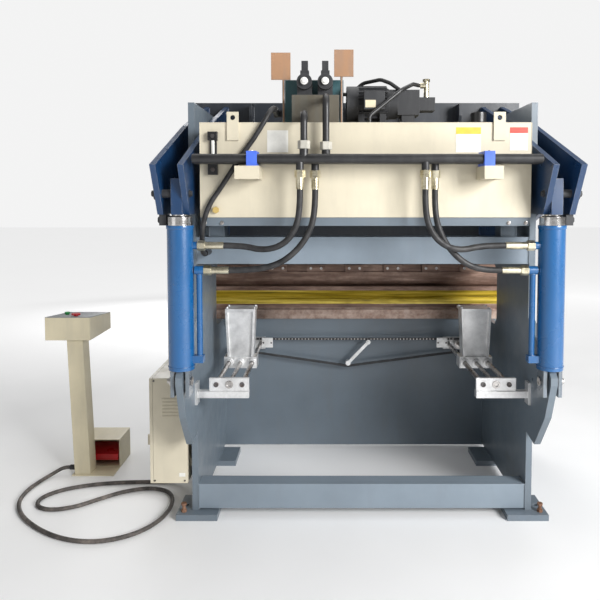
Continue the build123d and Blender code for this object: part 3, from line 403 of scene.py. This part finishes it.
class Piece:
    """One mesh that collects bevelled parts and then rides on a CAD body."""

    def __init__(self, name):
        self.name = name
        self.bm = bmesh.new()

    def _bevel(self, faces, width):
        if width:
            edges = {e for f in faces for e in f.edges if e.calc_face_angle(0) > 0.5}
            bmesh.ops.bevel(self.bm, geom=list(edges), offset=width, segments=BEVEL_STEPS,
                            profile=0.6, affect="EDGES", clamp_overlap=True)

    def prism(self, outline, start, axis, length, bevel=0.001, turn=0.0):
        """Extrude a flat outline (list of (u, v) metres) from start along an axis."""
        along = Vector(axis).normalized()
        side = along.orthogonal().normalized() if abs(along.z) > 0.9 else Vector((0, 0, 1))
        u = side.cross(along).normalized()
        v = along.cross(u).normalized()
        spin = Matrix.Rotation(turn, 3, along)
        u, v = spin @ u, spin @ v
        start = Vector(start)
        low = [self.bm.verts.new(start + u * a + v * b) for a, b in outline]
        high = [self.bm.verts.new(start + u * a + v * b + along * length) for a, b in outline]
        faces = [self.bm.faces.new(low[::-1]), self.bm.faces.new(high)]
        for i in range(len(outline)):
            j = (i + 1) % len(outline)
            faces.append(self.bm.faces.new((low[i], low[j], high[j], high[i])))
        self._bevel(faces, bevel)
        return self

    def box(self, x, y, z, bevel=0.001):
        """Bevelled block from three (low, high) pairs in millimetres."""
        (x0, x1), (y0, y1), (z0, z1) = [(a * MM, b * MM) for a, b in (x, y, z)]
        verts = [self.bm.verts.new(p) for p in (
            (x0, y0, z0), (x1, y0, z0), (x1, y1, z0), (x0, y1, z0),
            (x0, y0, z1), (x1, y0, z1), (x1, y1, z1), (x0, y1, z1))]
        quads = ((3, 2, 1, 0), (4, 5, 6, 7), (0, 1, 5, 4), (1, 2, 6, 5), (2, 3, 7, 6), (3, 0, 4, 7))
        faces = [self.bm.faces.new([verts[i] for i in quad]) for quad in quads]
        self._bevel(faces, bevel)
        return self

    def disc(self, start, axis, radius, length, bevel=0.001, sides=32):
        """Round bar, in millimetres."""
        ring = [(radius * MM * math.cos(t), radius * MM * math.sin(t))
                for t in (2 * math.pi * i / sides for i in range(sides))]
        return self.prism(ring, [c * MM for c in start], axis, length * MM, bevel)

    def hexagon(self, start, axis, flats, length, bevel=0.0012, turn=0.0):
        radius = flats / math.sqrt(3) * MM
        ring = [(radius * math.cos(t), radius * math.sin(t))
                for t in (math.pi / 3 * i for i in range(6))]
        return self.prism(ring, [c * MM for c in start], axis, length * MM, bevel, turn)

    def tube(self, start, axis, outer, inner, length, bevel=0.0008, sides=36):
        """Open ring such as a washer or a collar, in millimetres."""
        along = Vector(axis).normalized()
        side = along.orthogonal().normalized()
        start = Vector(start) * MM
        rings = []
        for radius, offset in ((outer, 0), (outer, length), (inner, length), (inner, 0)):
            rings.append([self.bm.verts.new(start + along * offset * MM
                          + Matrix.Rotation(2 * math.pi * i / sides, 3, along) @ side * radius * MM)
                          for i in range(sides)])
        faces = []
        for a, b in zip(rings, rings[1:] + rings[:1]):
            for i in range(sides):
                j = (i + 1) % sides
                faces.append(self.bm.faces.new((a[i], a[j], b[j], b[i])))
        bmesh.ops.recalc_face_normals(self.bm, faces=faces)
        self._bevel(faces, bevel)
        return self

    def socket_screw(self, start, axis, radius, length):
        """Cylinder-head screw with a sunk hexagon socket."""
        self.tube(start, axis, radius, radius * 0.5, length, 0.0008, 24)
        base = [s + a * length * 0.3 for s, a in zip(start, axis)]
        return self.hexagon(base, axis, radius * 1.05, 0.5, 0)

    def bolt(self, start, axis, flats, washer=True):
        """Hexagon head on a washer, with the rounded top of a forged head."""
        lift = 0
        if washer:
            self.tube(start, axis, flats * 0.68, flats * 0.25, flats * 0.1, 0.0004, 28)
            lift = flats * 0.1
        base = [s + a * lift for s, a in zip(start, axis)]
        self.hexagon(base, axis, flats, flats * 0.42, 0.0012, HEAD_TURN)
        top = [s + a * (lift + flats * 0.4) for s, a in zip(start, axis)]
        return self.disc(top, axis, flats * 0.42, flats * 0.06, 0.0008, 24)

    def bead(self, a, b, radius=4.0, pitch=5.0):
        """Weld bead: overlapping ripples of metal from a to b, in millimetres."""
        start, end = Vector(a) * MM, Vector(b) * MM
        run = end - start
        along = run.normalized()
        side = along.orthogonal().normalized()
        count = max(2, int(run.length / (pitch * MM)))
        sides = 10
        rings = []
        for i in range(2 * count + 1):
            swell = 1.0 if i % 2 else 0.86
            grow = radius * MM * swell * rng.uniform(0.94, 1.06)
            if i in (0, 2 * count):
                grow *= 0.45
            centre = start + run * (i / (2 * count))
            rings.append([self.bm.verts.new(centre + Matrix.Rotation(
                2 * math.pi * k / sides, 3, along) @ side * grow) for k in range(sides)])
        faces = [self.bm.faces.new(rings[0][::-1]), self.bm.faces.new(rings[-1])]
        for low, high in zip(rings, rings[1:]):
            for k in range(sides):
                n = (k + 1) % sides
                faces.append(self.bm.faces.new((low[k], low[n], high[n], high[k])))
        bmesh.ops.recalc_face_normals(self.bm, faces=faces)
        return self

    def ring_bead(self, centre, axis, radius, thick=3.0, pitch=6.0):
        """Weld bead running round a bar, in millimetres."""
        along = Vector(axis).normalized()
        side = along.orthogonal().normalized()
        centre = Vector(centre) * MM
        count = max(12, int(2 * math.pi * radius / pitch))
        rings = []
        for i in range(2 * count):
            turn = Matrix.Rotation(math.pi * i / count, 3, along)
            out = turn @ side
            size = thick * MM * (1.0 if i % 2 else 0.84) * rng.uniform(0.95, 1.05)
            rings.append([self.bm.verts.new(centre + out * (radius * MM + size * math.cos(t))
                                            + along * size * math.sin(t))
                          for t in (2 * math.pi * k / 8 for k in range(8))])
        faces = []
        for low, high in zip(rings, rings[1:] + rings[:1]):
            for k in range(8):
                n = (k + 1) % 8
                faces.append(self.bm.faces.new((low[k], low[n], high[n], high[k])))
        bmesh.ops.recalc_face_normals(self.bm, faces=faces)
        return self

    def done(self, material, body="root"):
        bmesh.ops.recalc_face_normals(self.bm, faces=self.bm.faces[:])
        mesh = bpy.data.meshes.new(self.name)
        self.bm.to_mesh(mesh)
        self.bm.free()
        mesh.materials.append(material)
        mesh.shade_smooth()
        mesh.set_sharp_from_angle(angle=SHARP_ANGLE)
        piece = bpy.data.objects.new(self.name, mesh)
        bpy.context.scene.collection.objects.link(piece)
        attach(piece, body)


# ---- welded frame --------------------------------------------------------------
def dress_frame():
    """Weld beads where the plates meet, and the bolts of the bought-in parts."""
    welds = Piece("frame_welds")
    for s in SIDES:
        inner = s * FRAME_INNER
        for y in (-349, -327):
            welds.bead((inner, y, 40), (inner, y, 155), 3.5)
        welds.bead((inner, -325, 159), (inner, -263, 159), 3.5)
        for z in (1239, 1371):
            welds.bead((inner, -345, z), (inner, -245, z), 3.5)
        welds.bead((inner, -347, 1243), (inner, -347, 1367), 3.5)
        welds.bead((inner, 459, 160), (inner, 459, 790), 4)
        for x in (s * FRAME_INNER, s * 831):
            welds.bead((x, -346, 31), (x, -202, 31), 4)
            welds.bead((x, 204, 31), (x, 396, 31), 4)
        for x in (665, 735):
            welds.bead((s * x, -347, 1372), (s * x, -347, 1430), 3.5)
        welds.bead((s * 667, -348, 1371), (s * 733, -348, 1371), 3.5)
    welds.bead((-796, -258, 158), (796, -258, 146), 0.8, 40)
    welds.done(MAT["frame"])

    bolts = Piece("shelf_bolts")
    for x in (-716, -640, 640, 716):
        bolts.bolt((x, -544, 1445), (0, -1, 0), 13)
    bolts.done(MAT["machined"])


def dress_ram():
    """Bolts and weld beads of the ram, its ribs and the tool clamps."""
    beads = Piece("ram_welds")
    for x in (-620, -330, 0, 330, 620):
        for side in (-9, 9):
            beads.bead((x + side, 458, 1740), (x + side, 458, 2110), 4)
            beads.bead((x + side, 353, 2114), (x + side, 455, 2114), 3)
    beads.done(MAT["ram"], "ram")
    arm_welds = Piece("arm_welds")
    for s in SIDES:
        for x in (767, 794, 883, 910):
            arm_welds.bead((s * x, 458, 1335), (s * x, 458, 2104), 4, 8)
        for z in (1487, 1637):
            arm_welds.bead((s * 794, -640, z), (s * 794, -550, z), 3.5)
    arm_welds.done(MAT["arm"], "ram")
    screws = Piece("tool_clamp_screws")
    for i in range(7):
        x = (i - 3) * CLAMP_PITCH
        for dx in (-32, 32):
            screws.socket_screw((x + dx, 441, 1129), (0, -1, 0), 8, 8)
    screws.done(MAT["machined"], "ram")
    caps = Piece("rod_pin_caps")
    for s in SIDES:
        caps.bolt((s * 918, *ROD_PIN), (s, 0, 0), 24)
        caps.bolt((s * 767.5, *ROD_PIN), (-s, 0, 0), 22)
    caps.done(MAT["cast"], "ram")


def dress_cylinders():
    """Weld rings, wiper seals, port rings and split pins of the two cylinders."""
    rings = Piece("cylinder_weld_rings")
    for s in SIDES:
        centre = (s * CYLINDER[0], CYLINDER[1])
        rings.ring_bead((*centre, 817), (0, 0, 1), 57, 2.6)
        rings.tube((*centre, 1421), (0, 0, 1), 59.5, 56.5, 16, 0.0015, 56)
        for z, radius in ((1348, 17), (1239, 19), (850, 13)):
            rings.ring_bead((s * 759.5, CYLINDER[1], z), (s, 0, 0), radius, 2.2, 4)
        rings.ring_bead((s * 733, CYLINDER[1], 1222), (0, 0, 1), 13.5, 2)
        rings.ring_bead((s * 733, CYLINDER[1], 863), (0, 0, 1), 13.5, 2)
    rings.done(MAT["blue"])
    seals = Piece("wiper_seals")
    for s in SIDES:
        seals.tube((s * CYLINDER[0], CYLINDER[1], 1474), (0, 0, 1), 44, 34.6, 5, 0.0015, 48)
    seals.done(MAT["black"])
    slots = Piece("gland_spanner_ring")
    for s in SIDES:
        for i in range(10):
            t = 2 * math.pi * i / 10 + 0.2
            start = (s * CYLINDER[0] + 50.5 * math.cos(t),
                     CYLINDER[1] + 50.5 * math.sin(t), 1462)
            slots.disc(start, (math.cos(t), math.sin(t), 0), 3.4, 2.2, 0.0004, 16)
    slots.done(MAT["cast"])
    pins = Piece("cylinder_pin_clips")
    for s in SIDES:
        pins.bolt((s * 868, CYLINDER[1], 745), (s, 0, 0), 20)
        pins.tube((s * 771, CYLINDER[1], 745), (-s, 0, 0), 20, 12, 4)
    pins.done(MAT["machined"])


dress_frame()
dress_ram()
dress_cylinders()


def dress_gauge():
    """Screws and bearings of the back gauge ends, bushes and ribs of its slides."""
    screws = Piece("gauge_end_screws")
    rings = Piece("gauge_end_bearings")
    for s in SIDES:
        for dx in (-GAUGE_SPREAD, GAUGE_SPREAD):
            screws.socket_screw((s * GAUGE_X + dx, -390, GAUGE_Z), (0, -1, 0), 12, 6)
        rings.tube((s * GAUGE_X, -390, GAUGE_Z), (0, -1, 0), 19, 11, 3)
        for x in (s * 530 - 24, s * 530 + 24):
            screws.bolt((x, 378, 682), (0, -1, 0), 8)
    screws.done(MAT["dark_steel"])
    rings.done(MAT["machined"])
    for side, s in (("left", -1), ("right", 1)):
        bushes = Piece(side + "_slide_bushes")
        for dx, bore in ((-GAUGE_SPREAD, 13.5), (0, 11.5), (GAUGE_SPREAD, 13.5)):
            bushes.tube((s * GAUGE_X + dx, -5, GAUGE_Z), (0, -1, 0), bore + 11, bore, 14, 0.002)
            bushes.tube((s * GAUGE_X + dx, -19, GAUGE_Z), (0, -1, 0), bore + 5, bore, 4, 0.001)
        for dx in (-74, 74):
            bushes.socket_screw((s * GAUGE_X + dx * 0.42, -5, 688), (0, -1, 0), 5, 5)
            bushes.socket_screw((s * GAUGE_X + dx, 22, 958), (0, 0, 1), 6, 6)
            bushes.socket_screw((s * GAUGE_X + dx, 92, 958), (0, 0, 1), 6, 6)
        bushes.done(MAT["aluminium"], side + "_gauge_slide")


def dress_tank():
    """Blank stickers, sight glass ends, tank weld seams, hoses' crimped ferrules and header clamp
    bolts.
    """
    for name, finish, x0, x1, z0, z1 in (
            ("sticker_white", "label", -436, -343, 1758, 1855),
            ("sticker_yellow_lower", "label", 399, 509, 1758, 1838),
            ("sticker_yellow_top", "label_yellow", 399, 509, 1839, 1868),
            ("sticker_red_lower", "label", 637, 717, 1766, 1842),
            ("sticker_red_top", "label_red", 637, 717, 1843, 1868)):
        sheet = Piece(name)
        sheet.box((x0, x1), (-550.6, -550.1), (z0, z1), 0.0002)
        sheet.done(MAT[finish])
    glass = Piece("sight_glass_screws")
    for z in (1681, 1828):
        glass.hexagon((-674, -574, z), (0, -1, 0), 17, 5)
        glass.disc((-674, -579, z), (0, -1, 0), 5, 3)
    glass.done(MAT["dark_steel"])
    seams = Piece("tank_weld_seams")
    for s in SIDES:
        seams.bead((s * 734, TANK_REAR, 1472), (s * 734, TANK_REAR, 1888), 1.6, 5)
    for x in (-587, 590):
        seams.bead((x - 25, -551, 1812), (x + 25, -551, 1812), 2.2)
    seams.done(MAT["cream"])
    crimps = Piece("ferrule_crimps")
    for x, y in ((-287, -655), (-223, -605), (248, -655), (298, -605)):
        for z in (1600, 1609, 1618, 1627):
            crimps.tube((x, y, z), (0, 0, 1), 17.4, 15.0, 3.4, 0.0008)
    crimps.done(MAT["zinc"])
    bolts = Piece("header_clamp_bolts")
    for x in (-490, 514):
        for y in (-668, -632, -596):
            bolts.bolt((x, y, 1754), (0, 0, 1), 8, False)
    bolts.done(MAT["zinc"])


def dress_cabinet():
    """Louvres, blank rating label and screws of the electric cabinet."""
    slats = Piece("cabinet_louvres")
    for i in range(6):
        z = 500 + 17 * i
        slats.prism([(-0.003, -0.004), (0.003, -0.004), (0.0012, 0.004)],
                    (-0.972, -0.3505, z * MM), (1, 0, 0), 0.088, 0.0006)
    slats.done(MAT["cream"])
    tag = Piece("cabinet_label")
    tag.box((-893, -863), (-350.6, -350), (196, 214), 0.0002)
    tag.done(MAT["label"])
    screws = Piece("cabinet_screws")
    for x in (-1012, -866):
        for z in (176, 670):
            screws.socket_screw((x, -350, z), (0, -1, 0), 4.5, 3)
    screws.done(MAT["dark_steel"])


dress_gauge()
dress_tank()
dress_cabinet()


def dress_top():
    """Coil nuts, terminal box window, chain pins, ram bolts and pedestal welds."""
    nuts = Piece("solenoid_nuts")
    for x in (-274, -179):
        nuts.tube((x, COIL_FACE, 2084), (0, -1, 0), 17, 8, 4, 0.0015)
        nuts.hexagon((x, COIL_FACE, 2084), (0, -1, 0), 19, 9)
    nuts.done(MAT["white"])
    window = Piece("terminal_box_window")
    window.box((3, 51), (-466.9, -466), (1968, 2002), 0.0003)
    window.done(MAT["beige"])
    pins = Piece("chain_pins")
    for i in range(-30, 31):
        pins.disc((i * 20, 399, 700), (0, 1, 0), 3.6, 12, 0.0006, 14)
    pins.done(MAT["machined"])
    bolts = Piece("ram_front_bolts")
    for i in range(7):
        bolts.bolt(((i - 3) * CLAMP_PITCH, 510, 1190), (0, 1, 0), 24)
    bolts.done(MAT["dark_steel"], "ram")
    foot = Piece("pedestal_welds")
    foot.bead((-1584, 79, 7), (-1500, 79, 7), 2.6)
    foot.bead((-1587, 82, 7), (-1587, 163, 7), 2.6)
    foot.done(MAT["beige"])


dress_top()


# ---- finishes of the CAD nodes ---------------------------------------------
NODE_FINISH = {
    "left_side_frame": "frame", "right_side_frame": "frame", "foot_plates": "frame",
    "levelling_bolts": "rust", "bed_plate": "frame", "rear_cross_members": "rail",
    "tank_shelf": "frame", "die_rail": "rail_steel", "die_block": "tool", "ram_plate": "ram",
    "ram_arms": "arm", "rod_blocks": "arm", "rod_pins": "cast", "punch": "tool",
    "punch_clamps": "tool", "cylinder_barrels": "barrel", "cylinder_glands": "chrome",
    "piston_rods": "chrome", "cylinder_pins": "machined", "cylinder_ports": "blue",
    "oil_tank": "cream", "tank_lid": "cream", "tank_fittings": "fittings",
    "tank_brackets": "cream", "header_pipes": "pipe", "pipe_clamps": "clamp",
    "steel_pipes": "pipe", "valve_blocks": "teal", "solenoid_coils": "cast",
    "flag_plates": "flag", "motor_body": "cast", "motor_fan": "grey", "fan_cover": "cast",
    "gear_pump": "cast", "hose_fittings": "zinc", "cabinet_shell": "cream",
    "cabinet_door": "cream", "switchgear": "grey", "pedestal_stand": "beige",
    "console_body": "beige", "console_panel": "grey", "start_button": "green",
    "emergency_stop": "red", "pedal_hood": "beige", "foot_pedal": "red",
    "cable_glands": "black", "left_gauge_slide": "aluminium",
    "right_gauge_slide": "aluminium", "left_gauge_screw": "machined",
    "right_gauge_screw": "machined", "gauge_rods": "machined",
    "gauge_supports": "aluminium", "sync_chain": "cast", "chain_tensioner": "aluminium",
}
for node, finish in NODE_FINISH.items():
    data = NODES[node].data
    if not data.materials:
        data.materials.append(MAT[finish])
    for i in range(len(data.materials)):
        data.materials[i] = MAT[finish]


# ---- studio ------------------------------------------------------------------
def make_studio():
    """World light, pale floor and soft lamps.

    The camera sees a paler world than the one that lights the object, and the floor glows
    a little from 2.6 m out, so that the horizon stays pale.
    """
    world = bpy.data.worlds.new("studio")
    world.use_nodes = True
    background = world.node_tree.nodes["Background"]
    background.inputs["Color"].default_value = (1.0, 1.0, 1.0, 1)
    background.inputs["Strength"].default_value = 0.24
    backdrop = world.node_tree.nodes.new("ShaderNodeBackground")
    backdrop.inputs["Color"].default_value = (1.0, 1.0, 1.0, 1)
    backdrop.inputs["Strength"].default_value = 0.9
    seen = world.node_tree.nodes.new("ShaderNodeLightPath")
    either = world.node_tree.nodes.new("ShaderNodeMixShader")
    links = world.node_tree.links
    links.new(seen.outputs["Is Camera Ray"], either.inputs[0])
    links.new(background.outputs[0], either.inputs[1])
    links.new(backdrop.outputs[0], either.inputs[2])
    links.new(either.outputs[0], world.node_tree.nodes["World Output"].inputs["Surface"])
    bpy.context.scene.world = world
    floor_data = bpy.data.meshes.new("floor")
    size = 30.0
    corners = [(-size, -size, 0), (size, -size, 0), (size, size, 0), (-size, size, 0)]
    floor_data.from_pydata(corners, [], [(0, 1, 2, 3)])
    floor = bpy.data.objects.new("floor", floor_data)
    bpy.context.scene.collection.objects.link(floor)
    s = Shader("pale_floor")
    tone = s.ramp(s.noise(0.8, 4), (0.3, (0.86, 0.86, 0.86)), (0.7, (0.90, 0.90, 0.90)))
    floor_data.materials.append(s.finish(tone, s.ramp(s.noise(3, 3), (0.3, 0.6), (0.7, 0.75))))
    away = s.node("ShaderNodeVectorMath", operation="LENGTH")
    s.link(s.place, away.inputs[0])
    tenths = s.math("MULTIPLY", away.outputs["Value"], 0.1)
    glow = s.math("MULTIPLY", s.math("SUBTRACT", tenths, 0.26), 1.3)
    s.surface.inputs["Emission Color"].default_value = (1.0, 1.0, 1.0, 1)
    s.link(s.math("MINIMUM", glow, 0.62), s.surface.inputs["Emission Strength"])
    lights = [("key", (4.0, -4.6, 3.0), (0.2, -0.3, 1.0), 2.6, 540),
              ("fill", (-4.5, -4.0, 2.6), (-0.3, -0.2, 1.0), 3.5, 25),
              ("top", (0.3, 0.5, 5.2), (0, 0, 1), 4.0, 95),
              ("front", (-1.5, 5.5, 2.8), (0, 0.5, 1.0), 3.5, 150)]
    for name, place, target, size, power in lights:
        data = bpy.data.lights.new(name, "AREA")
        data.size = size
        data.energy = power
        light = bpy.data.objects.new(name, data)
        bpy.context.scene.collection.objects.link(light)
        light.location = place
        aim = Vector(target) - Vector(place)
        light.rotation_euler = aim.to_track_quat("-Z", "Y").to_euler()


make_studio()
bpy.context.scene.view_settings.view_transform = "Standard"
